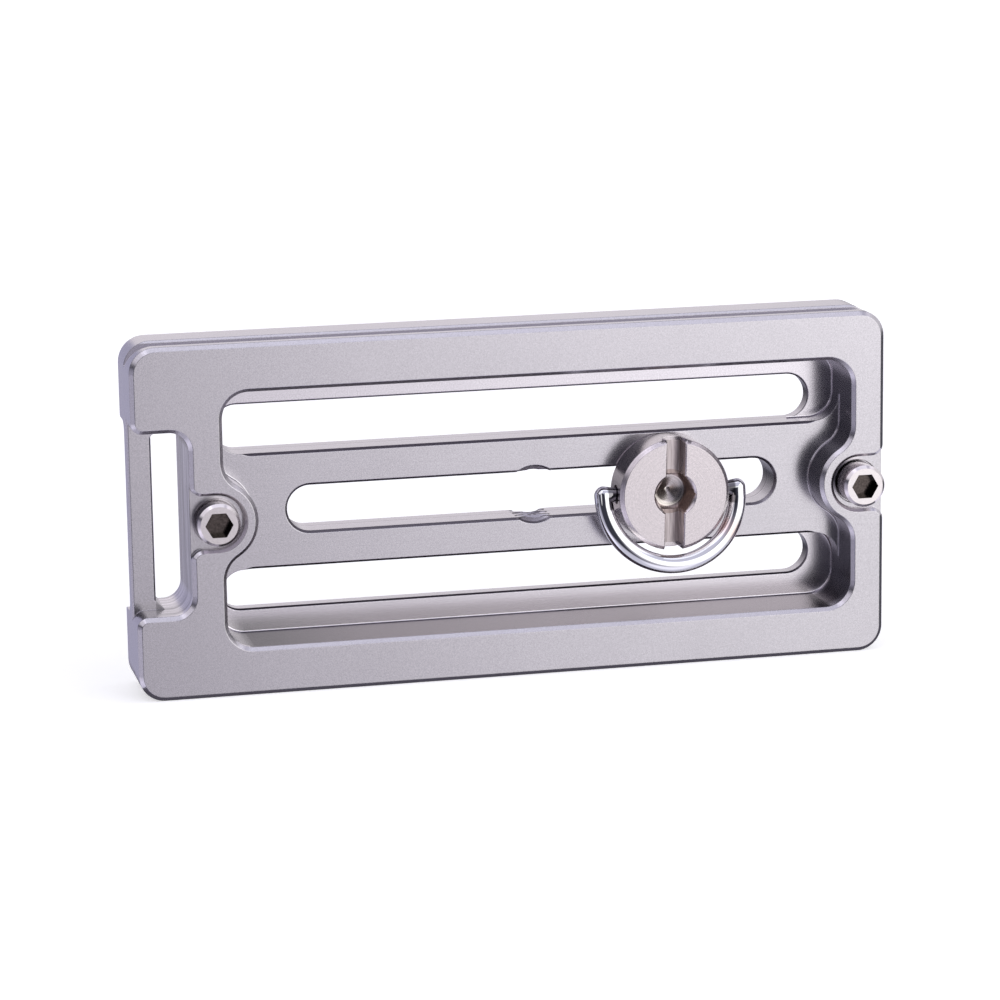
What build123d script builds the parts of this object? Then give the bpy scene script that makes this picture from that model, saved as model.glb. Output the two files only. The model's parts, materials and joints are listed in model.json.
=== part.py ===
from build123d import *
from math import sqrt
import os

# Tripod quick release plate with a dovetail along both long edges, a pocketed underside,
# a captive camera screw with a folding D-ring, and a drop-stop screw at each end.
# Millimetres. The plate stands on one long edge: X along it, Z up across its width,
# Y through its thickness with the pocketed side towards -Y and the camera side towards +Y.

# Plate blank
plate_length = 82.6
plate_width = 38.0
plate_thickness = 9.3
corner_radius = 2.8
front_chamfer = 0.45
back_chamfer = 0.4

# Dovetail: a land behind the front face, a 45 degree flank, then the camera-side slab
dovetail_land = 1.43
dovetail_depth = 2.5
slab_start = 4.68
slab_chamfer = 0.23

# Strap end: a bar across the left end, thinned from both sides
strap_bar_width = 2.55
strap_bar_thickness = 1.9
strap_slot_width = 3.45
strap_opening = 19.7
strap_front_relief = 3.9
strap_slot_corner = 2.0
strap_root_gusset = 0.9
strap_ear_round = 1.2
strap_back_opening = 20.8
strap_back_inner_round = 1.2
strap_back_outer_round = 0.9
strap_bar_break = 0.2

# Front pocket, its slotted centre bar and the deeper channels beside the bar
end_rim = 3.65
long_rim = 5.2
pocket_depth = 4.65
pocket_corner = 2.85
rim_chamfer = 0.4
channel_width = 7.5
channel_depth = 7.25
edge_break = 0.28
channel_edge_break = 0.2
back_edge_break = 0.4

# Long slots through the channels
side_slot_width = 4.9
side_slot_left_land = 0.1
side_slot_right_land = 2.8
bar_break_land = 1.1

# Centre slot of the captive screw, and its threaded loading hole
screw_slot_width = 5.0
screw_slot_length = 54.4
loading_hole_radius = 3.175
loading_hole_break = 0.1

# Stop screws and the recesses that their heads sit in
stop_inset = 2.8
stop_recess_radius = 2.92
stop_recess_depth = 1.0
stop_recess_chamfer = 0.33
stop_seat_radius = 2.45
stop_seat_depth = 1.5
stop_recess_mouth_round = 1.3
stop_boss_wall = 1.53
stop_boss_blend = 3.0
stop_head_radius = 2.3
stop_head_height = 2.84
stop_head_chamfer = 0.3
stop_shank_radius = 1.42
stop_shank_length = 4.8
stop_hex_flats = 2.6
stop_hex_depth = 1.4
stop_tip_chamfer = 0.3
stop_hole_clearance = 0.6
left_stop_raise = 0.0
right_stop_raise = 0.65

# Camera screw
screw_place = 17.65
screw_head_radius = 6.15
screw_head_height = 4.45
screw_head_chamfer = 0.42
screw_foot_chamfer = 0.2
screw_seat_gap = 0.02
screw_neck_gap = 0.2
screw_neck_gap_behind = 0.2
screw_sag = 0.12
stud_radius = 3.175
stud_length = 4.7
stud_root_chamfer = 0.3
stud_tip_chamfer = 0.6
coin_slot_width = 2.1
coin_slot_depth = 2.3
coin_slot_break = 0.1
coin_slot_turn = 1.6
hex_flats = 3.97
hex_depth = 2.9
hex_entry_radius = 2.4
hex_entry_depth = 0.35
drill_radius = 1.65
drill_tip_depth = 0.8

# D-ring
ring_wire_radius = 1.0
ring_bow_radius = 7.52
ring_bow_drop = 0.43
ring_elbow_swell = 0.02
ring_fold = 15.0
ring_pivot_share = 0.5
ring_pin_gap = 0.06
ring_pin_length = 1.2
ring_pin_end_gap = 0.2
ring_pin_chamfer = 0.15

# Places worked out from the driving dimensions, from the plate's middle along X and across Z
cut_margin = 2.0
half_length = plate_length / 2
half_width = plate_width / 2
strap_wall = -half_length + strap_bar_width + strap_slot_width
body_middle = (half_length + strap_wall) / 2
body_length = half_length - strap_wall
pocket_length = body_length - 2 * end_rim
pocket_width = plate_width - 2 * long_rim
pocket_left = body_middle - pocket_length / 2
pocket_right = body_middle + pocket_length / 2
bar_width = pocket_width - 2 * channel_width
channel_middle = (bar_width + channel_width) / 2
side_slot_middle = (bar_width + side_slot_width) / 2
side_slot_start = pocket_left + side_slot_left_land
side_slot_end = pocket_right - side_slot_right_land
side_slot_length = side_slot_end - side_slot_start
side_slot_centre = (side_slot_start + side_slot_end) / 2
bar_break_length = pocket_length - 2 * bar_break_land
stop_boss_radius = stop_recess_radius + stop_boss_wall
left_stop = strap_wall + stop_inset
right_stop = half_length - stop_inset
stop_raises = {left_stop: left_stop_raise, right_stop: right_stop_raise}
screw_height = half_width - screw_sag
screw_seat = pocket_depth - screw_seat_gap
screw_face = screw_seat - screw_head_height
screw_pivot = screw_face + screw_head_height * ring_pivot_share
screw_neck_radius = screw_slot_width / 2 - screw_neck_gap
stud_start = plate_thickness + screw_neck_gap_behind
stud_end = stud_start + stud_length
ring_pin_start = screw_head_radius - ring_pin_length
ring_elbow_radius = ring_wire_radius + ring_elbow_swell
ring_elbow_place = sqrt(ring_bow_radius**2 - ring_bow_drop**2)

# The overall box runs from the proudest stop screw to the stud's tip, and is centred on Y
front_reach = max(0, stop_head_height + max(stop_raises.values()) - stop_seat_depth)
front_y = (front_reach - stud_end) / 2
front = Plane(origin=(0, front_y, half_width), x_dir=(1, 0, 0), z_dir=(0, -1, 0))
back = Plane(origin=(0, front_y + plate_thickness, half_width), x_dir=(1, 0, 0), z_dir=(0, -1, 0))
section = Plane(origin=(0, front_y, half_width), x_dir=(0, 1, 0), z_dir=(1, 0, 0))
screw_front = Plane(
    origin=(screw_place, front_y + screw_face, screw_height), x_dir=(1, 0, 0), z_dir=(0, -1, 0)
)
pivot = (screw_place, front_y + screw_pivot, screw_height)
pin_plane = Plane(origin=pivot, x_dir=(0, 1, 0), z_dir=(1, 0, 0))
ring_plane = Plane(origin=pivot, x_dir=(1, 0, 0), z_dir=(0, -1, 0)).rotated((-ring_fold, 0, 0))
side_slot_places = [(side_slot_centre, side * side_slot_middle) for side in (1, -1)]
bar_break_places = [(body_middle, side * side_slot_middle) for side in (1, -1)]
channel_break_places = [
    (side_slot_centre, side * (side_slot_middle + channel_edge_break / 2)) for side in (1, -1)
]


# Half-section plane of a turned piece: radius along X, depth behind the front face along Y
def turning_plane(place, height):
    return Plane(origin=(place, front_y, height), x_dir=(1, 0, 0), z_dir=(0, 0, 1))


def turning_axis(place, height):
    return Axis((place, front_y, height), (0, 1, 0))


# Plate body
with BuildPart() as plate_body:
    with BuildSketch(front):
        RectangleRounded(plate_length, plate_width, corner_radius)
    extrude(amount=-plate_thickness)
    chamfer(plate_body.faces().sort_by(Axis.Y)[-1].edges(), back_chamfer)

    # Dovetail grooves along both long edges
    with BuildSketch(section):
        with BuildLine():
            Polyline(
                (dovetail_land - cut_margin, half_width + cut_margin),
                (dovetail_land + dovetail_depth, half_width - dovetail_depth),
                (slab_start, half_width - dovetail_depth),
                (slab_start, half_width - slab_chamfer),
                (slab_start + slab_chamfer + cut_margin, half_width + cut_margin),
                close=True,
            )
        make_face()
        mirror(about=Plane.XZ)
    extrude(amount=plate_length, both=True, mode=Mode.SUBTRACT)

    # Front pocket, bulging round the stop-screw bosses
    with BuildSketch(front) as pocket:
        with Locations((body_middle, 0)):
            Rectangle(pocket_length, pocket_width)
        with Locations((left_stop, 0), (right_stop, 0)):
            Circle(stop_boss_radius, mode=Mode.SUBTRACT)
        rows = pocket.vertices().group_by(Axis.Y)
        fillet(rows[1] + rows[-2], stop_boss_blend)
        rows = pocket.vertices().group_by(Axis.Y)
        fillet(rows[0] + rows[-1], pocket_corner)
    extrude(amount=-pocket_depth, mode=Mode.SUBTRACT)

    # Strap end: front relief, rounded ears, slot and back relief
    with BuildSketch(front) as relief:
        with Locations((strap_wall, 0)):
            Rectangle(plate_length, strap_opening, align=(Align.MAX, Align.CENTER))
        fillet(relief.vertices().group_by(Axis.X)[-1], strap_slot_corner)
    extrude(amount=-strap_front_relief, mode=Mode.SUBTRACT)
    ear_edges = plate_body.edges().filter_by(Axis.Y).group_by(Axis.X)[0].sort_by(Axis.Z)[1:-1]
    fillet(ear_edges, strap_ear_round)
    with BuildSketch(front) as strap_slot:
        with Locations((strap_wall, 0)):
            Rectangle(strap_slot_width, strap_opening, align=(Align.MAX, Align.CENTER))
        fillet(strap_slot.vertices().group_by(Axis.X)[-1], strap_slot_corner)
        chamfer(strap_slot.vertices().group_by(Axis.X)[0], strap_root_gusset)
    extrude(amount=-plate_thickness, mode=Mode.SUBTRACT)
    bar_fronts = plate_body.faces().filter_by(Axis.Y).group_by(Axis.X)[0].sort_by(Axis.Y)
    chamfer(bar_fronts[0].edges().filter_by(Axis.Z), strap_bar_break)
    with BuildSketch(section.offset(-plate_length)) as back_relief:
        bar_back = strap_front_relief + strap_bar_thickness
        step = strap_back_opening / 2
        flare = step + strap_back_outer_round * 1.5
        with BuildLine():
            Polyline(
                (plate_thickness + cut_margin, -flare),
                (plate_thickness, -flare),
                (plate_thickness, -step),
                (bar_back, -step),
                (bar_back, step),
                (plate_thickness, step),
                (plate_thickness, flare),
                (plate_thickness + cut_margin, flare),
                close=True,
            )
        make_face()
        columns = back_relief.vertices().group_by(Axis.X)
        fillet(columns[0], strap_back_inner_round)
        mouth = back_relief.vertices().group_by(Axis.X)[-2].sort_by(Axis.Y)[1:-1]
        fillet(mouth, strap_back_outer_round)
    extrude(amount=half_length + strap_bar_width, mode=Mode.SUBTRACT)

    # Channels either side of the centre bar
    with BuildSketch(front):
        with Locations((body_middle, channel_middle), (body_middle, -channel_middle)):
            RectangleRounded(pocket_length, channel_width, pocket_corner)
    extrude(amount=-channel_depth, mode=Mode.SUBTRACT)

    # Chamfers of the front face: first its outline, then the pocket's rim
    chamfer(plate_body.faces().sort_by(Axis.Y)[0].outer_wire().edges(), front_chamfer)
    chamfer(plate_body.faces().sort_by(Axis.Y)[0].inner_wires()[0].edges(), rim_chamfer)

    # Side slots through the channels
    with BuildSketch(front):
        with Locations(*side_slot_places):
            SlotOverall(side_slot_length, side_slot_width)
    extrude(amount=-plate_thickness, mode=Mode.SUBTRACT)

    # Centre slot and loading hole
    with BuildSketch(front):
        with Locations((body_middle, 0)):
            SlotOverall(screw_slot_length, screw_slot_width)
            Circle(loading_hole_radius)
    extrude(amount=-plate_thickness, mode=Mode.SUBTRACT)

    # Stop-screw recesses, each open to the end wall beside it, and their screw holes
    with BuildSketch(front) as recesses:
        for place, wall, outwards in ((left_stop, strap_wall, -1), (right_stop, half_length, 1)):
            with Locations((place, 0)):
                Circle(stop_recess_radius)
            with Locations(((place + wall) / 2, 0)):
                Rectangle(abs(wall - place), 2 * stop_recess_radius)
            with Locations((wall + outwards * cut_margin / 4, 0)):
                Rectangle(cut_margin / 2, 2 * (stop_recess_radius + 2 * stop_recess_mouth_round))
        mouths = [
            corner
            for corner in recesses.vertices()
            if abs(abs(corner.Y) - stop_recess_radius) < 0.01 and min(
                abs(corner.X - strap_wall), abs(corner.X - half_length)) < 0.01
        ]
        fillet(mouths, stop_recess_mouth_round)
    extrude(amount=-stop_recess_depth, mode=Mode.SUBTRACT)
    mouth_reach = stop_recess_radius + stop_recess_mouth_round
    outline = plate_body.faces().sort_by(Axis.Y)[0].outer_wire().edges()
    recess_edges = outline.filter_by(lambda edge: abs(edge.center().Z - half_width) < mouth_reach)
    chamfer(recess_edges, stop_recess_chamfer)
    with BuildSketch(front):
        with Locations((left_stop, 0), (right_stop, 0)):
            Circle(stop_seat_radius)
    extrude(amount=-stop_seat_depth, mode=Mode.SUBTRACT)
    with BuildSketch(front):
        with Locations((left_stop, 0), (right_stop, 0)):
            Circle(stop_shank_radius)
    extrude(
        amount=-(stop_seat_depth + stop_shank_length + stop_hole_clearance),
        mode=Mode.SUBTRACT,
    )

    # Edge breaks, cut by a chamfer tool that follows each slot
    with BuildSketch(front.offset(-pocket_depth)):
        with Locations(*bar_break_places):
            SlotOverall(bar_break_length, side_slot_width + 2 * edge_break)
    extrude(amount=-edge_break, taper=45, mode=Mode.SUBTRACT)
    with BuildSketch(front.offset(-pocket_depth)):
        with Locations((body_middle, 0)):
            SlotOverall(screw_slot_length + 2 * edge_break, screw_slot_width + 2 * edge_break)
    extrude(amount=-edge_break, taper=45, mode=Mode.SUBTRACT)
    with BuildSketch(front.offset(-pocket_depth)):
        with Locations((body_middle, 0)):
            Circle(loading_hole_radius + loading_hole_break)
    extrude(amount=-loading_hole_break, taper=45, mode=Mode.SUBTRACT)
    with BuildSketch(front.offset(-channel_depth)):
        with Locations(*channel_break_places):
            SlotOverall(side_slot_length + channel_edge_break, side_slot_width + channel_edge_break)
    extrude(amount=-channel_edge_break, taper=45, mode=Mode.SUBTRACT)
    with BuildSketch(back):
        with Locations(*side_slot_places):
            SlotOverall(side_slot_length + 2 * back_edge_break, side_slot_width + 2 * back_edge_break)
    extrude(amount=back_edge_break, taper=45, mode=Mode.SUBTRACT)
    with BuildSketch(back):
        with Locations((body_middle, 0)):
            SlotOverall(screw_slot_length + 2 * back_edge_break, screw_slot_width + 2 * back_edge_break)
    extrude(amount=back_edge_break, taper=45, mode=Mode.SUBTRACT)
    with BuildSketch(back):
        with Locations((body_middle, 0)):
            Circle(loading_hole_radius + back_edge_break)
    extrude(amount=back_edge_break, taper=45, mode=Mode.SUBTRACT)
plate_body.part.label = "plate_body"

# Camera screw: a turned blank, then its drives and the two holes for the ring
with BuildPart() as camera_screw:
    with BuildSketch(turning_plane(screw_place, screw_height)):
        with BuildLine():
            Polyline(
                (0, screw_face),
                (screw_head_radius - screw_head_chamfer, screw_face),
                (screw_head_radius, screw_face + screw_head_chamfer),
                (screw_head_radius, screw_seat - screw_foot_chamfer),
                (screw_head_radius - screw_foot_chamfer, screw_seat),
                (screw_neck_radius, screw_seat),
                (screw_neck_radius, stud_start),
                (stud_radius - stud_root_chamfer, stud_start),
                (stud_radius, stud_start + stud_root_chamfer),
                (stud_radius, stud_end - stud_tip_chamfer),
                (stud_radius - stud_tip_chamfer, stud_end),
                (0, stud_end),
                close=True,
            )
        make_face()
    revolve(axis=turning_axis(screw_place, screw_height))
    with BuildSketch(screw_front):
        Rectangle(coin_slot_width, 3 * screw_head_radius, rotation=-coin_slot_turn)
    extrude(amount=-coin_slot_depth, mode=Mode.SUBTRACT)
    with BuildSketch(screw_front):
        coin_slot_mouth = coin_slot_width + 2 * coin_slot_break
        Rectangle(coin_slot_mouth, 3 * screw_head_radius, rotation=-coin_slot_turn)
    extrude(amount=-coin_slot_break, taper=45, mode=Mode.SUBTRACT)
    with BuildSketch(screw_front):
        RegularPolygon(hex_flats / 2, 6, major_radius=False, rotation=-coin_slot_turn)
    extrude(amount=-hex_depth, mode=Mode.SUBTRACT)
    with BuildSketch(turning_plane(screw_place, screw_height)):
        with BuildLine():
            Polyline(
                (0, screw_face),
                (hex_entry_radius, screw_face),
                (hex_entry_radius - hex_entry_depth, screw_face + hex_entry_depth),
                (drill_radius, screw_face + hex_entry_depth),
                (drill_radius, screw_face + hex_depth),
                (0, screw_face + hex_depth + drill_tip_depth),
                close=True,
            )
        make_face()
    revolve(axis=turning_axis(screw_place, screw_height), mode=Mode.SUBTRACT)
    for side in (1, -1):
        with BuildSketch(pin_plane.offset(side * (ring_pin_start - ring_pin_end_gap))):
            Circle(ring_wire_radius + ring_pin_gap)
        extrude(amount=side * screw_head_radius, mode=Mode.SUBTRACT)
camera_screw.part.label = "camera_screw"

# D-ring: round wire bent to a bow, with tight elbows and a pin turned into each side of the head
with BuildPart() as d_ring:
    with BuildLine(ring_plane) as bow:
        bow_bottom = (0, -ring_bow_drop - ring_bow_radius)
        ThreePointArc((-ring_elbow_place, 0), bow_bottom, (ring_elbow_place, 0))
    with BuildSketch(Plane(origin=bow.line @ 0, z_dir=bow.line % 0)):
        Circle(ring_wire_radius)
    sweep(path=bow.line)
    for side in (1, -1):
        with BuildSketch(pin_plane.offset(side * ring_pin_start)):
            Circle(ring_wire_radius)
        extrude(amount=side * (ring_elbow_place - ring_pin_start))
    with Locations(bow.line @ 0, bow.line @ 1):
        Sphere(ring_elbow_radius)
    chamfer(d_ring.faces().filter_by(GeomType.PLANE).edges(), ring_pin_chamfer)
d_ring.part.label = "d_ring"

# Stop screws: two alike, a fastener group in one node
with BuildPart() as stop_screws:
    for place, lift in stop_raises.items():
        head_seat = stop_seat_depth - lift
        head_face = head_seat - stop_head_height
        shank_end = head_seat + stop_shank_length
        with BuildSketch(turning_plane(place, half_width)):
            with BuildLine():
                Polyline(
                    (0, head_face),
                    (stop_head_radius - stop_head_chamfer, head_face),
                    (stop_head_radius, head_face + stop_head_chamfer),
                    (stop_head_radius, head_seat),
                    (stop_shank_radius, head_seat),
                    (stop_shank_radius, shank_end - stop_tip_chamfer),
                    (stop_shank_radius - stop_tip_chamfer, shank_end),
                    (0, shank_end),
                    close=True,
                )
            make_face()
        revolve(axis=turning_axis(place, half_width))
        with BuildSketch(front.offset(-head_face)):
            with Locations((place, 0)):
                RegularPolygon(stop_hex_flats / 2, 6, major_radius=False)
        extrude(amount=-stop_hex_depth, mode=Mode.SUBTRACT)
stop_screws.part.label = "stop_screws"

os.makedirs("parts", exist_ok=True)
for piece in (plate_body, camera_screw, d_ring, stop_screws):
    export_step(piece.part, f"parts/{piece.part.label}.step")
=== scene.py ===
import json
import math
import bpy
import bmesh
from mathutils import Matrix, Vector


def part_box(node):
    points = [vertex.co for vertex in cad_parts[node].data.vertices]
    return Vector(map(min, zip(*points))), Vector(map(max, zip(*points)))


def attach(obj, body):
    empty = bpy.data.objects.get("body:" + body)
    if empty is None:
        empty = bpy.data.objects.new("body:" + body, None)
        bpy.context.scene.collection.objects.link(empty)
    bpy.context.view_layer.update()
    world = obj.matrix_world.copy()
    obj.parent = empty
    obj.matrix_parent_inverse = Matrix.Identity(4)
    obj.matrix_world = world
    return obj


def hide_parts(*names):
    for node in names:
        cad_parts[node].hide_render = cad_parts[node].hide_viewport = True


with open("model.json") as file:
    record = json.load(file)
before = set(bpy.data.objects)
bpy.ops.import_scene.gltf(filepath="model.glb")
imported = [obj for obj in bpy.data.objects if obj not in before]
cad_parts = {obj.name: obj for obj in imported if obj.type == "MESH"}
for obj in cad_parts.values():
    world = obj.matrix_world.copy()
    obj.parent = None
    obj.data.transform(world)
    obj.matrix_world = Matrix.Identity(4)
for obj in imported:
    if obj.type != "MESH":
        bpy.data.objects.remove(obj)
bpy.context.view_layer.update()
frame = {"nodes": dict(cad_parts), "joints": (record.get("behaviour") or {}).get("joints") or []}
mm = 0.001
weld = 1e-7  # anything smaller counts as none
plateLow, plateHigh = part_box("plate_body")
frontY = plateLow.y  # the pocketed face of the plate
midZ = (plateLow.z + plateHigh.z) / 2
ringJoint = [joint for joint in frame["joints"] if joint["name"] == "ring_fold"][0]
ringPivot = Vector(ringJoint["pos_m"])
screwX, screwZ = ringPivot.x, ringPivot.z
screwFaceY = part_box("camera_screw")[0].y
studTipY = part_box("camera_screw")[1].y
scene = bpy.context.scene
print("frame loaded:", sorted(frame["nodes"]))


# node helpers
def addNode(tree, kind, **settings):
    node = tree.nodes.new(kind)
    for key, value in settings.items():
        setattr(node, key, value)
    return node


def setSockets(node, **values):
    for key, value in values.items():
        node.inputs[key.replace("_", " ")].default_value = value
    return node


def feed(tree, node, **sources):
    for key, source in sources.items():
        tree.links.new(source, node.inputs[key.replace("_", " ")])
    return node


def calc(tree, operation, first, second=None):
    node = addNode(tree, "ShaderNodeMath", operation=operation)
    for index, value in enumerate((first, second)):
        if value is None:
            continue
        if isinstance(value, (int, float)):
            node.inputs[index].default_value = value
        else:
            tree.links.new(value, node.inputs[index])
    return node.outputs[0]


def calcVector(tree, operation, first, second=None):
    node = addNode(tree, "ShaderNodeVectorMath", operation=operation)
    for index, value in enumerate((first, second)):
        if value is None:
            continue
        if isinstance(value, (tuple, list, Vector)):
            node.inputs[index].default_value = value
        else:
            tree.links.new(value, node.inputs[index])
    return node


def remap(tree, value, fromLow, fromHigh, toLow=0.0, toHigh=1.0):
    node = addNode(tree, "ShaderNodeMapRange", interpolation_type="SMOOTHSTEP")
    setSockets(node, From_Min=fromLow, From_Max=fromHigh, To_Min=toLow, To_Max=toHigh)
    tree.links.new(value, node.inputs["Value"])
    return node.outputs["Result"]


def mixColour(tree, factor, first, second, mode="MIX"):
    node = addNode(tree, "ShaderNodeMix", data_type="RGBA", blend_type=mode)
    for index, value in ((0, factor), (6, first), (7, second)):
        if isinstance(value, (int, float)):
            node.inputs[index].default_value = value
        elif isinstance(value, tuple):
            node.inputs[index].default_value = (*value, 1)
        else:
            tree.links.new(value, node.inputs[index])
    return node.outputs[2]


def mixValue(tree, factor, first, second):
    node = addNode(tree, "ShaderNodeMix")
    for index, source in ((0, factor), (2, first), (3, second)):
        tree.links.new(source, node.inputs[index])
    return node.outputs[0]


def objectPoint(tree):
    return addNode(tree, "ShaderNodeTexCoord").outputs["Object"]


def objectAxes(tree):
    axes = addNode(tree, "ShaderNodeSeparateXYZ")
    tree.links.new(objectPoint(tree), axes.inputs[0])
    return axes.outputs


def newGroup(name, inputs, outputs):
    group = bpy.data.node_groups.new(name, "ShaderNodeTree")
    for label, kind, value in inputs:
        socket = group.interface.new_socket(label, in_out="INPUT", socket_type="NodeSocket" + kind)
        socket.default_value = value
    for label in outputs:
        group.interface.new_socket(label, in_out="OUTPUT", socket_type="NodeSocketFloat")
    return group, addNode(group, "NodeGroupInput").outputs, addNode(group, "NodeGroupOutput").inputs


def place(tree, group, **values):
    node = addNode(tree, "ShaderNodeGroup", node_tree=group)
    return setSockets(node, **values).outputs


# shared finishes
def putTone(group, noise, depth, out):
    swing = calc(group, "MULTIPLY", calc(group, "SUBTRACT", noise, 0.5), depth)
    group.links.new(calc(group, "ADD", swing, 1.0), out["Tone"])
    group.links.new(noise, out["Height"])


def makeGrain():
    inputs = [("Scale", "Float", 3000.0), ("Depth", "Float", 0.1)]
    group, given, out = newGroup("blastGrain", inputs, ["Tone", "Height"])
    noise = setSockets(addNode(group, "ShaderNodeTexNoise"), Detail=3.0, Roughness=0.6)
    feed(group, noise, Vector=objectPoint(group), Scale=given["Scale"])
    putTone(group, noise.outputs[0], given["Depth"], out)
    return group


def makeToolLines():
    inputs = [("Stretch", "Vector", (1, 1, 1)), ("Depth", "Float", 0.1)]
    group, given, out = newGroup("toolLines", inputs, ["Tone", "Height"])
    noise = setSockets(addNode(group, "ShaderNodeTexNoise"), Scale=1.0, Detail=2.0, Roughness=0.7)
    stretched = calcVector(group, "MULTIPLY", objectPoint(group), given["Stretch"])
    feed(group, noise, Vector=stretched.outputs[0])
    putTone(group, noise.outputs[0], given["Depth"], out)
    return group


def makeTurnedRings():
    inputs = [("Centre", "Vector", (0, 0, 0)), ("Rings", "Float", 9000.0), ("Depth", "Float", 0.1)]
    group, given, out = newGroup("turnedRings", inputs, ["Tone", "Height", "Radius"])
    offset = calcVector(group, "SUBTRACT", objectPoint(group), given["Centre"])
    flat = calcVector(group, "MULTIPLY", offset.outputs[0], (1, 0, 1))
    radius = calcVector(group, "LENGTH", flat.outputs[0]).outputs["Value"]
    noise = addNode(group, "ShaderNodeTexNoise", noise_dimensions="1D")
    setSockets(noise, Detail=2.0, Roughness=0.7)
    feed(group, noise, W=radius, Scale=given["Rings"])
    putTone(group, noise.outputs[0], given["Depth"], out)
    group.links.new(radius, out["Radius"])
    return group


def makeBoxMask():
    inputs = [("Low", "Vector", (0, 0, 0)), ("High", "Vector", (0, 0, 0)), ("Soft", "Float", 0.2 * mm)]
    group, given, out = newGroup("boxMask", inputs, ["Mask"])
    point = objectPoint(group)
    below = calcVector(group, "SUBTRACT", given["Low"], point)
    above = calcVector(group, "SUBTRACT", point, given["High"])
    outside = calcVector(group, "MAXIMUM", below.outputs[0], above.outputs[0])
    axes = addNode(group, "ShaderNodeSeparateXYZ")
    group.links.new(outside.outputs[0], axes.inputs[0])
    furthest = calc(group, "MAXIMUM", axes.outputs[0], axes.outputs[1])
    furthest = calc(group, "MAXIMUM", furthest, axes.outputs[2])
    share = calc(group, "DIVIDE", furthest, given["Soft"])
    group.links.new(remap(group, share, 0.0, 1.0, 1.0, 0.0), out["Mask"])
    return group


grainGroup = makeGrain()
linesGroup = makeToolLines()
ringsGroup = makeTurnedRings()
boxGroup = makeBoxMask()
print("shared finishes made")


def newMaterial(name):
    material = bpy.data.materials.new(name)
    material.use_nodes = True
    tree = material.node_tree
    tree.nodes.clear()
    output = addNode(tree, "ShaderNodeOutputMaterial")
    return material, tree, output


def metalShader(tree, output, settings):
    shader = addNode(tree, "ShaderNodeBsdfPrincipled")
    setSockets(shader, Metallic=1.0, Roughness=settings["roughness"])
    tree.links.new(shader.outputs[0], output.inputs[0])
    return shader


def bumpFrom(tree, height, settings, softEdge=0.0):
    bump = setSockets(addNode(tree, "ShaderNodeBump"), **settings)
    tree.links.new(height, bump.inputs["Height"])
    if softEdge:
        edge = setSockets(addNode(tree, "ShaderNodeBevel", samples=6), Radius=softEdge)
        tree.links.new(edge.outputs[0], bump.inputs["Normal"])
    return bump.outputs[0]


# anodised plate
plateFinish = {
    "colour": (0.585, 0.56, 0.59),
    "roughness": 0.22,
    "softEdge": 0.11 * mm,
    "grain": {"Scale": 7000.0, "Depth": 0.50},  # bead blast
    "cloud": {"Scale": 90.0, "Depth": 0.10},  # slow change of tone
    "millLines": {"Stretch": (260.0, 3000.0, 9000.0), "Depth": 0.10},  # on the pocket's floors
    "strapLines": {"Stretch": (100.0, 1500.0, 60.0), "Depth": 2.2},  # in the strap opening
    "pocketGrain": 0.55,  # share of the blast that the pocket keeps
    "bump": {"Strength": 0.05, "Distance": 0.02 * mm},
    "wallShadeTint": (0.31, 0.275, 0.285),  # painted shade on the pocket's lower wall
    # painted shade, darker still, towards the pocket's lower left corner
    "cornerShadeTint": (0.105, 0.097, 0.098),
    "wallShadeFade": (-30 * mm, -14 * mm),  # from the painted shade of the corner to that of the wall
}
plateAreas = {  # in mm: two corners as x, depth behind the front face and z, then the soft border
    "pocket": ((-31, 4.4, 5), (37.6, 9, 33), 0.2),
    "strap": ((-38.7, 0.5, 8), (-35.2, 9.5, 30), 0.1),
    "shadedLowWall": ((-31.6, 0.5, 4.8), (37.6, 7.15, 5.23), 0.04),
    "leftArcShade": ((-30.9, 1.1, 4.8), (-28.2, 6.6, 5.9), 0.55),
    "leftCornerShade": ((-34, 0.6, 4.6), (-31.3, 7.1, 6.4), 0.6),
    "rightCornerShade": ((35.4, 2.2, 4.8), (36.4, 5.6, 5.9), 1.6),
    "recessShade": ((-36.8, 0.3, 15.4), (-29.4, 4, 22.6), 0.25),
    "barBreakShade": ((-30.5, 4.69, 9.5), (36, 4.90, 28.5), 0.02),
    "slotBreakShade": ((-30.5, 7.28, 6.0), (36, 7.43, 32.0), 0.02),
    "channelFloorLight": ((-33, 7.15, 4), (38.5, 7.35, 34), 0.05),
}
# painted shade in the pocket's lower corners, in the left stop screw's recess and on the pocket's edge
# breaks, and painted light on the channel floors
paintedShadeAndLight = {
    "leftCornerShade": plateFinish["cornerShadeTint"],
    "rightCornerShade": plateFinish["wallShadeTint"],
    "recessShade": (0.92, 0.92, 0.92),
    "barBreakShade": (0.40, 0.39, 0.41),
    "slotBreakShade": (0.40, 0.39, 0.41),
    "channelFloorLight": (1.26, 1.25, 1.25),
}


def plateMask(tree, area):
    low, high, soft = plateAreas[area]
    low, high = [(x * mm, frontY + depth * mm, z * mm) for x, depth, z in (low, high)]
    return place(tree, boxGroup, Low=low, High=high, Soft=soft * mm)["Mask"]


def toneWithin(tree, tone, mask):
    swing = calc(tree, "MULTIPLY", calc(tree, "SUBTRACT", tone, 1.0), mask)
    return calc(tree, "ADD", swing, 1.0)


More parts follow.
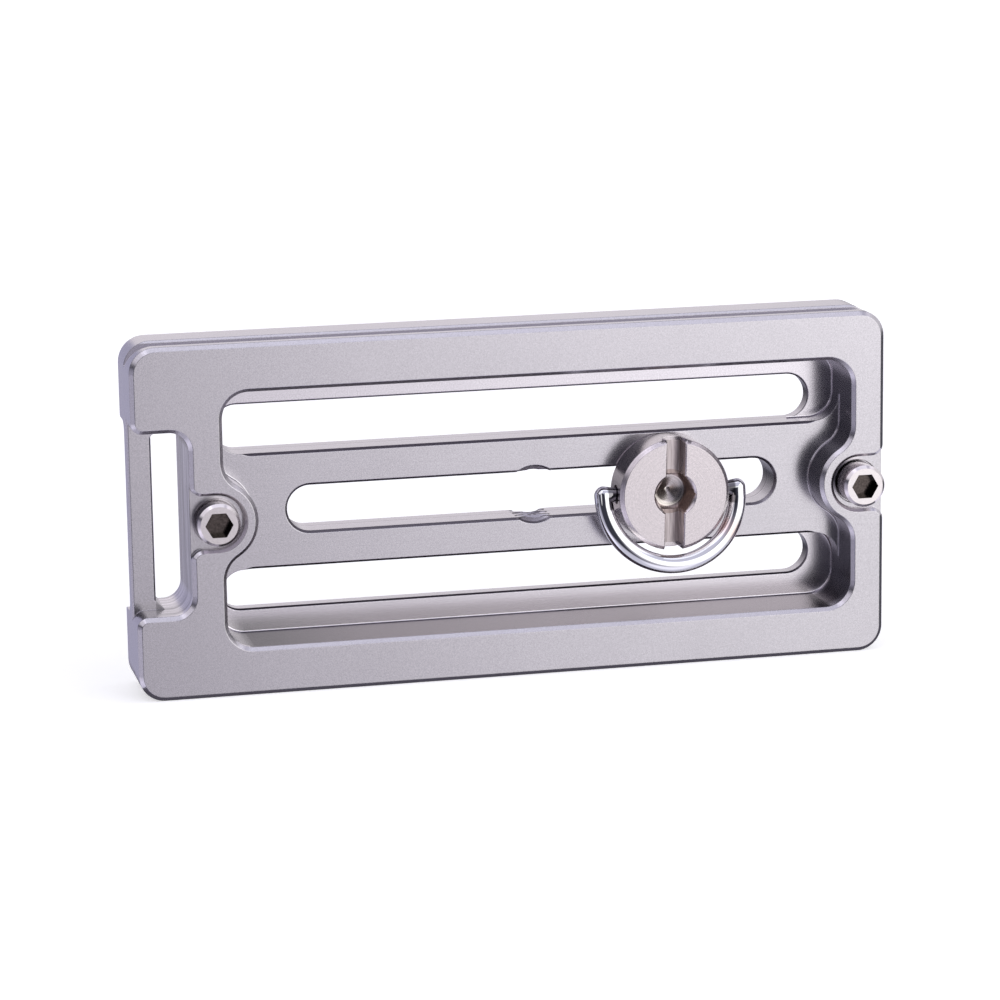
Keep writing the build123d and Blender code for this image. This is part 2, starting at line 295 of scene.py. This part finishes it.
def anodisedPlate(name, softEdge):
    material, tree, output = newMaterial(name)
    grain = place(tree, grainGroup, **plateFinish["grain"])
    cloud = place(tree, grainGroup, **plateFinish["cloud"])
    lines = place(tree, linesGroup, **plateFinish["millLines"])
    passes = place(tree, linesGroup, **plateFinish["strapLines"])
    pocket, strap = plateMask(tree, "pocket"), plateMask(tree, "strap")
    tone = calc(tree, "MULTIPLY", grain["Tone"], cloud["Tone"])
    tone = calc(tree, "MULTIPLY", tone, toneWithin(tree, lines["Tone"], pocket))
    tone = calc(tree, "MULTIPLY", tone, toneWithin(tree, passes["Tone"], strap))
    colour = mixColour(tree, 1.0, plateFinish["colour"], tone, "MULTIPLY")
    # painted shade on the pocket's lower wall and its left arc, darker towards the left corner
    nearCorner = remap(tree, objectAxes(tree)[0], *plateFinish["wallShadeFade"], 1.0, 0.0)
    wallShadeTint = mixColour(tree, nearCorner, plateFinish["wallShadeTint"], plateFinish["cornerShadeTint"])
    shadedLowWall = calc(tree, "MAXIMUM", plateMask(tree, "shadedLowWall"), plateMask(tree, "leftArcShade"))
    colour = mixColour(tree, shadedLowWall, colour, wallShadeTint, "MULTIPLY")
    # painted shade and light in the areas listed above
    for area, tint in paintedShadeAndLight.items():
        colour = mixColour(tree, plateMask(tree, area), colour, tint, "MULTIPLY")
    shader = metalShader(tree, output, plateFinish)
    feed(tree, shader, Base_Color=colour)
    blasted = remap(tree, pocket, 0.0, 1.0, 1.0, plateFinish["pocketGrain"])
    height = calc(tree, "MULTIPLY", grain["Height"], blasted)
    height = calc(tree, "ADD", height, calc(tree, "MULTIPLY", lines["Height"], pocket))
    height = calc(tree, "ADD", height, calc(tree, "MULTIPLY", passes["Height"], strap))
    feed(tree, shader, Normal=bumpFrom(tree, height, plateFinish["bump"], softEdge))
    return material


# turned steel of the camera screw
screwFinish = {
    "colour": (0.665, 0.61, 0.625),
    "roughness": 0.25,
    "softEdge": 0.07 * mm,
    "rings": {"Rings": 12000.0, "Depth": 0.28},  # turning marks of the face
    "mottle": {"Scale": 5200.0, "Depth": 0.40},
    "faceRadius": 5.7 * mm,
    "slotColour": (0.70, 0.62, 0.61),
    "slotMetal": 0.55,  # the coin slot is duller than the face
    "slotFrom": (0.1 * mm, 0.35 * mm),  # depths where the slot's finish sets in
    "slotTo": 4.2 * mm,
    "brushed": {"Stretch": (7000.0, 7000.0, 240.0), "Depth": 1.9},
    # painted shade on the coin slot's right wall
    "wallShadeTint": (0.30, 0.26, 0.25),
    "wallAt": (0.93 * mm, 1.25 * mm),  # right wall of the slot, where the shade is painted
    # painted shade inside the hex socket
    "hexShadeTint": (0.74, 0.67, 0.63),
    "hexRadius": 2.45 * mm,
    "coneColour": (0.62, 0.565, 0.53),
    "coneRadius": 1.75 * mm,
    "drillRings": {"Rings": 3600.0, "Depth": 0.9},
    "bump": {"Strength": 0.18, "Distance": 0.02 * mm},
}


def turnedSteel():
    material, tree, output = newMaterial("turnedSteel")
    centre = (screwX, 0, screwZ)
    rings = place(tree, ringsGroup, Centre=centre, **screwFinish["rings"])
    drill = place(tree, ringsGroup, Centre=centre, **screwFinish["drillRings"])
    mottle = place(tree, grainGroup, **screwFinish["mottle"])
    brushed = place(tree, linesGroup, **screwFinish["brushed"])
    point = objectAxes(tree)
    depth = calc(tree, "SUBTRACT", point[1], screwFaceY)
    across = calc(tree, "SUBTRACT", point[0], screwX)
    onFace = calc(tree, "LESS_THAN", rings["Radius"], screwFinish["faceRadius"])
    slot = calc(tree, "MULTIPLY", onFace, remap(tree, depth, *screwFinish["slotFrom"]))
    slot = calc(tree, "MULTIPLY", slot, calc(tree, "LESS_THAN", depth, screwFinish["slotTo"]))
    hexed = calc(tree, "LESS_THAN", rings["Radius"], screwFinish["hexRadius"])
    drilled = calc(tree, "LESS_THAN", rings["Radius"], screwFinish["coneRadius"])
    faceTone = mixColour(tree, 1.0, screwFinish["colour"], rings["Tone"], "MULTIPLY")
    faceTone = mixColour(tree, 1.0, faceTone, mottle["Tone"], "MULTIPLY")
    coneTone = mixColour(tree, 1.0, screwFinish["coneColour"], drill["Tone"], "MULTIPLY")
    slotTone = mixColour(tree, 1.0, screwFinish["slotColour"], brushed["Tone"], "MULTIPLY")
    # painted shade on the slot's right wall
    rightWallShade = remap(tree, across, *screwFinish["wallAt"])
    slotTone = mixColour(tree, rightWallShade, slotTone, screwFinish["wallShadeTint"], "MULTIPLY")
    # painted shade inside the hex socket
    slotTone = mixColour(tree, hexed, slotTone, screwFinish["hexShadeTint"], "MULTIPLY")
    slotTone = mixColour(tree, drilled, slotTone, coneTone)
    shader = metalShader(tree, output, screwFinish)
    feed(tree, shader, Base_Color=mixColour(tree, slot, faceTone, slotTone))
    milled = calc(tree, "MULTIPLY", slot, calc(tree, "SUBTRACT", 1.0, drilled))
    feed(tree, shader, Metallic=remap(tree, milled, 0.0, 1.0, 1.0, screwFinish["slotMetal"]))
    cutHeight = mixValue(tree, drilled, brushed["Height"], drill["Height"])
    height = mixValue(tree, slot, rings["Height"], cutHeight)
    feed(tree, shader, Normal=bumpFrom(tree, height, screwFinish["bump"], screwFinish["softEdge"]))
    return material


# bright steel of the stop screws
stopFinish = {
    "colour": (0.75, 0.70, 0.705),
    "roughness": 0.17,
    "grain": {"Scale": 2600.0, "Depth": 0.5},
    "grainShare": 0.25,
    "bump": {"Strength": 0.1, "Distance": 0.02 * mm},
    "middle": 3.0 * mm,  # the two screws stand to the left and right of this
    "reach": 35.5 * mm,
    "between": (-10 * mm, 10 * mm),  # no screw stands here
    "faces": (1.34 * mm, 1.99 * mm),  # how far the left and right heads stand out
    "socketRadius": 1.55 * mm,
    "socketFrom": (0.08 * mm, 0.4 * mm),
    "socketDepth": 1.33 * mm,
    # painted shade in the hex sockets, a little lighter on their floors
    "socketShade": (0.055, 0.045, 0.04),
    "socketFloorShade": (0.085, 0.07, 0.065),
    "speckle": {"Scale": 5200.0, "Depth": 2.4},
}


def brightSteel():
    material, tree, output = newMaterial("brightSteel")
    point = objectAxes(tree)
    across = calc(tree, "ABSOLUTE", calc(tree, "SUBTRACT", point[0], stopFinish["middle"]))
    across = calc(tree, "SUBTRACT", across, stopFinish["reach"])
    rise = calc(tree, "SUBTRACT", point[2], midZ)
    squares = [calc(tree, "MULTIPLY", way, way) for way in (across, rise)]
    radius = calc(tree, "SQRT", calc(tree, "ADD", *squares))
    leftFace, rightFace = [frontY - out for out in stopFinish["faces"]]
    faceY = remap(tree, point[0], *stopFinish["between"], leftFace, rightFace)
    depth = calc(tree, "SUBTRACT", point[1], faceY)
    inHex = calc(tree, "LESS_THAN", radius, stopFinish["socketRadius"])
    socket = calc(tree, "MULTIPLY", inHex, remap(tree, depth, *stopFinish["socketFrom"]))
    grain = place(tree, grainGroup, **stopFinish["grain"])
    bright = mixColour(tree, 1.0, stopFinish["colour"], grain["Tone"], "MULTIPLY")
    bright = mixColour(tree, stopFinish["grainShare"], stopFinish["colour"], bright)
    # painted shade in the hex sockets
    atFloor = calc(tree, "GREATER_THAN", depth, stopFinish["socketDepth"])
    dark = mixColour(tree, atFloor, stopFinish["socketShade"], stopFinish["socketFloorShade"])
    speckle = place(tree, grainGroup, **stopFinish["speckle"])
    dark = mixColour(tree, 1.0, dark, speckle["Tone"], "MULTIPLY")
    shader = metalShader(tree, output, stopFinish)
    feed(tree, shader, Base_Color=mixColour(tree, socket, bright, dark))
    feed(tree, shader, Normal=bumpFrom(tree, grain["Height"], stopFinish["bump"]))
    return material


# polished wire of the D-ring
ringShape = {
    "wire": 1.0 * mm,
    "bow": 7.52 * mm,
    "drop": 0.43 * mm,  # the bow's centre lies this far below the pins
    "fold": 15.0,
    "pin": 0.8 * mm,
    "pinStart": 4.95 * mm,
    "pinBreak": 0.15 * mm,
    "pinGap": 1.05,  # room for the elbow, in wire radii
    "bowGap": 1.08,
    "sides": 40,
    "bowSteps": 150,
    "elbowSteps": 14,
}
ringFinish = {
    "colour": (0.90, 0.90, 0.915),
    "roughness": 0.05,
    "grain": {"Scale": 900.0, "Depth": 0.05},
    "bump": {"Strength": 0.02, "Distance": 0.05 * mm},
    # painted shade on the pins where they enter the head
    "pinShadeColour": (0.24, 0.23, 0.24),
    "pinReach": (7.05 * mm, 1.3 * mm, 1.3 * mm),
    "pinSoft": 0.25 * mm,
    "warmReflection": (1.0, 0.80, 0.76),  # painted warm reflection, faint, low on the right
    "warmReflectionTurn": -33,
    "warmReflectionSize": (0.7 * mm, 1.9 * mm),
}


def polishedWire():
    material, tree, output = newMaterial("polishedWire")
    grain = place(tree, grainGroup, **ringFinish["grain"])
    # painted shade around the pins
    reach = Vector(ringFinish["pinReach"])
    pin = place(tree, boxGroup, Low=ringPivot - reach, High=ringPivot + reach,
                Soft=ringFinish["pinSoft"])["Mask"]
    # painted warm reflection on the bow
    turn = math.radians(ringFinish["warmReflectionTurn"])
    fold = math.radians(ringShape["fold"])
    across = ringShape["bow"] * math.cos(turn)
    drop = ringShape["bow"] * math.sin(turn) - ringShape["drop"]
    spot = ringPivot + Vector((across, drop * math.sin(fold), drop * math.cos(fold)))
    gap = calcVector(tree, "DISTANCE", objectPoint(tree), spot).outputs["Value"]
    warmReflection = remap(tree, gap, *ringFinish["warmReflectionSize"], 1.0, 0.0)
    colour = mixColour(tree, 1.0, ringFinish["colour"], grain["Tone"], "MULTIPLY")
    colour = mixColour(tree, warmReflection, colour, ringFinish["warmReflection"], "MULTIPLY")
    shader = metalShader(tree, output, ringFinish)
    feed(tree, shader, Base_Color=mixColour(tree, pin, colour, ringFinish["pinShadeColour"]))
    feed(tree, shader, Normal=bumpFrom(tree, grain["Height"], ringFinish["bump"]))
    return material


plateMaterial = anodisedPlate("anodisedPlate", plateFinish["softEdge"])
trimMaterial = anodisedPlate("anodisedTrim", 0.0)
screwMaterial = turnedSteel()
stopMaterial = brightSteel()
ringMaterial = polishedWire()


def dress(node, material):
    mesh = frame["nodes"][node].data
    mesh.materials.clear()
    mesh.materials.append(material)


dress("plate_body", plateMaterial)
dress("stop_screws", stopMaterial)
print("materials made")


# mesh helpers
def finishPiece(name, mesh, material, body, crease=30):
    bmesh.ops.recalc_face_normals(mesh, faces=mesh.faces)
    data = bpy.data.meshes.new(name)
    mesh.to_mesh(data)
    mesh.free()
    data.shade_smooth()
    data.set_sharp_from_angle(angle=math.radians(crease))
    data.materials.append(material)
    piece = bpy.data.objects.new(name, data)
    scene.collection.objects.link(piece)
    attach(piece, body)
    return piece


def bridge(mesh, first, second):
    count = len(first)
    for i in range(count):
        corners = []
        for vert in (first[i], first[(i + 1) % count], second[(i + 1) % count], second[i]):
            if vert not in corners:
                corners.append(vert)
        if len(corners) > 2:
            mesh.faces.new(corners)


# D-ring: one bent wire, its pins turned into the head
def makeRing():
    wire, bow, drop = ringShape["wire"], ringShape["bow"], ringShape["drop"]
    fold = math.radians(ringShape["fold"])
    across = Vector((1, 0, 0))
    up = Vector((0, math.sin(fold), math.cos(fold)))
    out = Vector((0, -math.cos(fold), math.sin(fold)))
    elbow = math.sqrt(bow * bow - drop * drop)
    lean = math.asin(drop / bow)
    angles = [2 * math.pi * i / ringShape["sides"] for i in range(ringShape["sides"])]
    mesh = bmesh.new()

    def spot(x, y, normal):
        return ringPivot + across * x + up * y + out * normal

    def hoop(x, y, side, radius=wire):
        return [mesh.verts.new(spot(x + radius * math.cos(a) * side[0], y + radius * math.cos(a) * side[1],
                                    radius * math.sin(a))) for a in angles]

    def elbowHoops(x, start, end):
        first = (math.cos(start), math.sin(start))
        last = (math.cos(end), math.sin(end))
        share = 1 + first[0] * last[0] + first[1] * last[1]
        mitre = {}
        for i, a in enumerate(angles):
            if math.cos(a) < -weld:  # inside of the bend
                reach = wire * math.cos(a) / share
                aside, rise = reach * (first[0] + last[0]), reach * (first[1] + last[1])
                mitre[i] = mesh.verts.new(spot(x + aside, rise, wire * math.sin(a)))
        hoops = []
        for step in range(ringShape["elbowSteps"] + 1):
            turn = start + (end - start) * step / ringShape["elbowSteps"]
            row = []
            for i, a in enumerate(angles):
                if i in mitre:
                    row.append(mitre[i])
                else:
                    aside, rise = wire * math.cos(a) * math.cos(turn), wire * math.cos(a) * math.sin(turn)
                    row.append(mesh.verts.new(spot(x + aside, rise, wire * math.sin(a))))
            hoops.append(row)
        return hoops

    pin, pinEnd, pinBreak = ringShape["pin"], ringShape["pinStart"], ringShape["pinBreak"]
    pinReach = elbow - wire * ringShape["pinGap"]
    upward = (0, 1)
    hoops = [hoop(-pinEnd, 0, upward, pin - pinBreak), hoop(-pinEnd - pinBreak, 0, upward, pin),
             hoop(-pinReach, 0, upward, pin)]
    hoops += elbowHoops(-elbow, math.pi / 2, math.pi - lean)
    clear = wire * ringShape["bowGap"] / bow
    begin, stop = math.pi - lean + clear, 2 * math.pi + lean - clear
    for step in range(ringShape["bowSteps"] + 1):
        turn = begin + (stop - begin) * step / ringShape["bowSteps"]
        side = (math.cos(turn), math.sin(turn))
        hoops.append(hoop(bow * side[0], -drop + bow * side[1], side))
    hoops += elbowHoops(elbow, lean, math.pi / 2)
    hoops += [hoop(pinReach, 0, upward, pin), hoop(pinEnd + pinBreak, 0, upward, pin),
              hoop(pinEnd, 0, upward, pin - pinBreak)]
    for first, second in zip(hoops, hoops[1:]):
        bridge(mesh, first, second)
    mesh.faces.new(hoops[0])
    mesh.faces.new(hoops[-1])
    bmesh.ops.remove_doubles(mesh, verts=mesh.verts, dist=weld)
    ring = finishPiece("ringWire", mesh, ringMaterial, "ring")
    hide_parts("d_ring")


makeRing()


# camera screw: the head and neck, then a stud with its thread cut
cameraThread = {
    "major": 3.175 * mm,
    "pitch": 1.27 * mm,
    "crest": 0.125,  # widths of the flats, as shares of the pitch
    "root": 0.25,
}
studShape = {
    "depth": 0.72 * mm,
    "neck": 2.3 * mm,
    "start": 9.5 * mm,  # behind the front face
    "headLap": 0.03 * mm,  # the head ends this far before the start
    "studLap": 0.06 * mm,  # and the stud begins this far before it
    "neckLap": 0.1 * mm,
    "tipBreak": 0.6 * mm,
    "onCut": 1e-8,  # a point this close lies on the cut
    "sides": 80,
    "rows": 110,
}


def makeScrewHead():
    cut = frontY + studShape["start"] - studShape["headLap"]
    mesh = bmesh.new()
    mesh.from_mesh(frame["nodes"]["camera_screw"].data)
    bmesh.ops.remove_doubles(mesh, verts=mesh.verts, dist=weld)
    everything = mesh.verts[:] + mesh.edges[:] + mesh.faces[:]
    bmesh.ops.bisect_plane(mesh, geom=everything, dist=studShape["onCut"],
                           plane_co=(0, cut, 0), plane_no=(0, 1, 0), clear_outer=True)
    rim = [edge for edge in mesh.edges if edge.is_boundary]
    bmesh.ops.edgenet_fill(mesh, edges=rim)
    head = finishPiece("screwHead", mesh, screwMaterial, "screw", crease=20)
    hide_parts("camera_screw")


def threadShare(phase):
    phase = phase % 1.0
    crest, root = cameraThread["crest"] / 2, 0.5 - cameraThread["root"] / 2
    away = min(phase, 1.0 - phase)
    return min(max((away - crest) / (root - crest), 0.0), 1.0)


def makeStud():
    major, pitch, sides = cameraThread["major"], cameraThread["pitch"], studShape["sides"]
    start = frontY + studShape["start"] - studShape["studLap"]
    mesh = bmesh.new()
    rows = []
    for row in range(studShape["rows"] + 1):
        y = start + (studTipY - start) * row / studShape["rows"]
        ring = []
        for i in range(sides):
            turn = 2 * math.pi * i / sides
            radius = major - studShape["depth"] * threadShare((y - start) / pitch - turn / (2 * math.pi))
            tip = major - studShape["tipBreak"] + studTipY - y
            neck = studShape["neck"] - studShape["neckLap"] + y - start
            radius = min(radius, tip, neck)
            x, z = radius * math.sin(turn), radius * math.cos(turn)
            ring.append(mesh.verts.new((screwX + x, y, screwZ + z)))
        rows.append(ring)
    for first, second in zip(rows, rows[1:]):
        bridge(mesh, first, second)
    mesh.faces.new(rows[0])
    mesh.faces.new(rows[-1])
    stud = finishPiece("screwStud", mesh, screwMaterial, "screw", crease=40)
    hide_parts("camera_screw")


makeScrewHead()
makeStud()


# thread left in the loading hole, where it bulges past the slot
loadingShape = {
    "middle": 3.0 * mm,
    "minor": 2.6 * mm,
    "slot": 2.5 * mm,  # half the slot's width
    "slack": 0.4,  # degrees left free beside the slot
    "skin": 0.02 * mm,  # how far the roots may sink into the wall
    "back": 3.32 * mm,
    "from": 4.78 * mm,
    "to": 8.86 * mm,
    "steps": 36,
    "rows": 84,
}


def makeLoadingThread():
    mesh = bmesh.new()
    major, minor, slot = cameraThread["major"], loadingShape["minor"], loadingShape["slot"]
    reach = math.asin(slot / major) + math.radians(loadingShape["slack"])
    near, far = frontY + loadingShape["from"], frontY + loadingShape["to"]
    for side in (1, -1):
        grid = []
        for row in range(loadingShape["rows"] + 1):
            y = near + (far - near) * row / loadingShape["rows"]
            ends = min(y - near, far - y)
            inner, outer = [], []
            for step in range(loadingShape["steps"] + 1):
                turn = side * (reach + (math.pi - 2 * reach) * step / loadingShape["steps"])
                share = threadShare((y - near) / cameraThread["pitch"] + turn / (2 * math.pi))
                wall = slot / abs(math.sin(turn))
                radius = max(minor + (major - minor) * share, wall, major - ends)
                radius = min(radius, major + loadingShape["skin"])
                for bunch, r in ((inner, radius), (outer, loadingShape["back"])):
                    x, z = r * math.cos(turn), r * math.sin(turn)
                    bunch.append(mesh.verts.new((loadingShape["middle"] + x, y, midZ + z)))
            grid.append(inner + outer[::-1])
        for first, second in zip(grid, grid[1:]):
            bridge(mesh, first, second)
        mesh.faces.new(grid[0])
        mesh.faces.new(grid[-1])
    finishPiece("loadingThread", mesh, trimMaterial, "plate", crease=40)


makeLoadingThread()


# tool radius where the walls meet the floors they stand on
filletShape = {
    "radius": 0.15 * mm,
    "steps": 5,
    "sunk": 0.04 * mm,  # how far its back lies inside the plate
    "from": 4.5 * mm,  # floors nearer the front face have none
    "floorFacing": 0.999,
    "wallFacing": 0.01,
}


def makeFillets():
    source = bmesh.new()
    source.from_mesh(frame["nodes"]["plate_body"].data)
    bmesh.ops.remove_doubles(source, verts=source.verts, dist=weld)
    source.normal_update()
    lift = Vector((0, -1, 0))
    corners, facing = [], {}
    for edge in source.edges:
        floors = [face for face in edge.link_faces if face.normal.y < -filletShape["floorFacing"]]
        walls = [face for face in edge.link_faces if abs(face.normal.y) < filletShape["wallFacing"]]
        if len(floors) != 1 or len(walls) != 1 or edge.verts[0].co.y < frontY + filletShape["from"]:
            continue
        inward = floors[0].calc_center_median() - edge.verts[0].co
        if inward.dot(walls[0].normal) < weld:  # the floor ends here, and the wall goes down
            continue
        corners.append(edge)
        for vert in edge.verts:
            facing.setdefault(vert, []).append(walls[0].normal.copy())
    mesh = bmesh.new()
    radius, sunk, steps = filletShape["radius"], filletShape["sunk"], filletShape["steps"]
    turns = [math.radians(90) * step / steps for step in range(steps + 1)]
    profiles = {}
    for vert, normals in facing.items():
        side = sum(normals, Vector()).normalized()
        middle = vert.co + (side + lift) * radius
        loop = []
        for turn in turns:
            offset = side * math.cos(turn) + lift * math.sin(turn)
            loop.append(mesh.verts.new(middle - offset * radius))
        loop.append(mesh.verts.new(vert.co - (side + lift) * sunk))
        profiles[vert] = loop
    for edge in corners:
        bridge(mesh, profiles[edge.verts[0]], profiles[edge.verts[1]])
    for vert, normals in facing.items():
        if len(normals) == 1:
            mesh.faces.new(profiles[vert])
    source.free()
    finishPiece("toolFillets", mesh, trimMaterial, "plate", crease=40)


makeFillets()
print("ring, screw, threads and tool radii built")

# camera fitted to the photograph's edges
cameraSettings = {
    "lens": 135.286,
    "sensor": 36,
    "clipStart": 0.01,
    "place": (-90.933 * mm, -389.583 * mm, 103.034 * mm),
    "turn": (78.0335, 0.7996, -13.2365),
}
cameraData = bpy.data.cameras.new("photoCamera")
cameraData.lens = cameraSettings["lens"]
cameraData.sensor_width = cameraSettings["sensor"]
cameraData.clip_start = cameraSettings["clipStart"]
camera = bpy.data.objects.new("photoCamera", cameraData)
camera.location = cameraSettings["place"]
camera.rotation_euler = [math.radians(a) for a in cameraSettings["turn"]]
scene.collection.objects.link(camera)
scene.camera = camera

# pale floor that curves up to a backdrop
floorSettings = {
    "halfWidth": 1.6,
    "front": -1.5,
    "bend": 0.9,
    "radius": 0.5,
    "height": 1.6,
    "steps": 24,
    "colour": (0.8, 0.8, 0.8),
    "glow": 0.56,
}


def makeFloor():
    outline = [(floorSettings["front"], 0.0), (floorSettings["bend"], 0.0)]
    for step in range(1, floorSettings["steps"] + 1):
        angle = math.radians(90) * step / floorSettings["steps"]
        outline.append((floorSettings["bend"] + floorSettings["radius"] * math.sin(angle),
                        floorSettings["radius"] * (1 - math.cos(angle))))
    outline.append((outline[-1][0], floorSettings["height"]))
    mesh = bmesh.new()
    rows = []
    for x in (-floorSettings["halfWidth"], floorSettings["halfWidth"]):
        rows.append([mesh.verts.new((x, y, z)) for y, z in outline])
    for i in range(len(outline) - 1):
        mesh.faces.new((rows[0][i], rows[1][i], rows[1][i + 1], rows[0][i + 1]))
    data = bpy.data.meshes.new("floor")
    mesh.to_mesh(data)
    mesh.free()
    data.shade_smooth()
    floor = bpy.data.objects.new("floor", data)
    floor.visible_glossy = False  # so the metal mirrors the room's pools, and never this floor
    floor.visible_shadow = False  # lets the light from below through
    scene.collection.objects.link(floor)
    material, tree, output = newMaterial("paleFloor")
    paint = setSockets(addNode(tree, "ShaderNodeBsdfDiffuse"), Color=(*floorSettings["colour"], 1))
    glow = addNode(tree, "ShaderNodeEmission")
    rays = addNode(tree, "ShaderNodeLightPath").outputs
    mirrored = calc(tree, "MAXIMUM", rays["Is Glossy Ray"], rays["Is Transmission Ray"])  # none reach it now
    seen = calc(tree, "MAXIMUM", rays["Is Camera Ray"], mirrored)
    seen = calc(tree, "MULTIPLY", seen, floorSettings["glow"])
    tree.links.new(seen, glow.inputs["Strength"])
    whole = addNode(tree, "ShaderNodeAddShader")
    tree.links.new(paint.outputs[0], whole.inputs[0])
    tree.links.new(glow.outputs[0], whole.inputs[1])
    tree.links.new(whole.outputs[0], output.inputs[0])
    data.materials.append(material)


makeFloor()

# studio lamps
lamps = {
    "overhead": {"place": (0.0, -0.05, 0.9), "aim": (0, 0, 0.02), "size": (0.9, 0.5), "power": 0.75,
                 "colour": (0.92, 0.95, 1.0)},
    "frontRight": {"place": (0.75, -0.95, 0.3), "aim": (0, 0, 0.02), "size": (0.8, 0.8), "power": 0.15,
                   "colour": (1.0, 0.985, 0.985)},
    "behind": {"place": (0.1, 0.8, 0.55), "aim": (0, 0, 0.02), "size": (0.9, 0.5), "power": 0.3,
               "colour": (1.0, 0.985, 0.985)},
}


def makeLamp(name, settings):
    data = bpy.data.lights.new(name, "AREA")
    data.shape = "RECTANGLE"
    data.size, data.size_y = settings["size"]
    data.energy = settings["power"]
    data.color = settings["colour"]
    lamp = bpy.data.objects.new(name, data)
    lamp.location = settings["place"]
    aim = Vector(settings["aim"]) - Vector(settings["place"])
    lamp.rotation_euler = aim.to_track_quat("-Z", "Y").to_euler()
    scene.collection.objects.link(lamp)


for lampName, lampSettings in lamps.items():
    makeLamp(lampName, lampSettings)


# cards that only the metal sees
def rectangle(left, right, low, high):
    return [(left, low), (right, low), (right, high), (left, high)]


def stageCard(name, corners, colour):
    mesh = bmesh.new()
    mesh.faces.new([mesh.verts.new(corner) for corner in corners])
    data = bpy.data.meshes.new(name)
    mesh.to_mesh(data)
    mesh.free()
    material, tree, output = newMaterial(name)
    glow = setSockets(addNode(tree, "ShaderNodeEmission"), Color=(*colour, 1))
    tree.links.new(glow.outputs[0], output.inputs[0])
    data.materials.append(material)
    card = bpy.data.objects.new(name, data)
    card.visible_camera = False
    card.visible_shadow = False
    card.visible_diffuse = False
    scene.collection.objects.link(card)


# pale board behind the strap end
boardSettings = {"across": (-0.16, -0.046), "y": 0.06, "rise": (-0.06, 0.06), "colour": (0.46, 0.45, 0.60)}


def makeBoard():
    corners = rectangle(*boardSettings["across"], *boardSettings["rise"])
    stageCard("paleBoard", [(x, boardSettings["y"], z) for x, z in corners], boardSettings["colour"])


# dim strip under the plate, where it shades the table
stripSettings = {
    "across": (-0.043, 0.056),
    "depth": (-1.2 * mm, 9.0 * mm),
    "z": -0.3 * mm,
    "colour": (0.10, 0.095, 0.12),
}


def makeStrip():
    corners = rectangle(*stripSettings["across"], *stripSettings["depth"])
    spots = [(x, frontY + y, stripSettings["z"]) for x, y in corners]
    stageCard("contactStrip", spots, stripSettings["colour"])


makeBoard()
makeStrip()

# studio walls: soft pools of light round a dark room; turn 0 is the camera's side, 90 the right
room = {
    "dark": (0.04, 0.04, 0.055),
    "pools": [
        {"turn": 40, "rise": 4.5, "inner": 20, "outer": 42, "colour": (1.11, 1.12, 1.095)},  # main softbox
        {"turn": 25, "rise": 14, "inner": 2, "outer": 26, "colour": (0.62, 0.62, 0.63)},  # its middle
        {"turn": 9, "rise": -7, "inner": 2, "outer": 19, "colour": (0.37, 0.35, 0.40)},  # its near edge
        {"turn": 84, "rise": 22, "inner": 22, "outer": 38, "colour": (0.80, 0.79, 0.82)},  # right wall
        {"turn": 25, "rise": 66, "inner": 26, "outer": 50, "colour": (0.55, 0.545, 0.655)},  # roof
        {"turn": 180, "rise": 8, "inner": 2, "outer": 28, "colour": (0.88, 0.84, 0.88)},  # backdrop
        {"turn": 142, "rise": -26, "inner": 18, "outer": 33, "colour": (0.46, 0.45, 0.50)},  # table, behind
        {"turn": 140, "rise": 15, "inner": 2, "outer": 32, "colour": (0.60, 0.58, 0.59)},  # backdrop, right
        {"turn": -85, "rise": -20, "inner": 18, "outer": 36, "colour": (0.40, 0.39, 0.48)},  # left wall
        {"turn": -98, "rise": -18, "inner": 6, "outer": 20, "colour": (0.45, 0.44, 0.48)},  # table, left
        {"turn": -66, "rise": 44, "inner": 16, "outer": 31, "colour": (0.90, 0.88, 0.96)},  # roof, left
        {"turn": 12, "rise": -44, "inner": 8, "outer": 25, "colour": (0.38, 0.37, 0.39)},  # table, front
        {"turn": 0, "rise": -90, "inner": 58, "outer": 75, "colour": (0.56, 0.55, 0.65)},  # table, below
        {"turn": -43, "rise": 17, "inner": 4, "outer": 8, "colour": (0.9, 0.88, 0.9)},  # window
    ],
}


def makeRoom():
    world = bpy.data.worlds.new("studioRoom")
    world.use_nodes = True
    scene.world = world
    tree = world.node_tree
    direction = addNode(tree, "ShaderNodeTexCoord").outputs["Generated"]
    light = room["dark"]
    for pool in room["pools"]:
        turn, rise = math.radians(pool["turn"]), math.radians(pool["rise"])
        centre = (math.sin(turn) * math.cos(rise), -math.cos(turn) * math.cos(rise), math.sin(rise))
        near = calcVector(tree, "DOT_PRODUCT", direction, centre).outputs["Value"]
        outer, inner = [math.cos(math.radians(pool[rim])) for rim in ("outer", "inner")]
        share = remap(tree, near, outer, inner)
        light = mixColour(tree, share, light, pool["colour"], "ADD")
    tree.links.new(light, tree.nodes["Background"].inputs["Color"])


makeRoom()
scene.view_settings.view_transform = "Standard"
print("stage set")
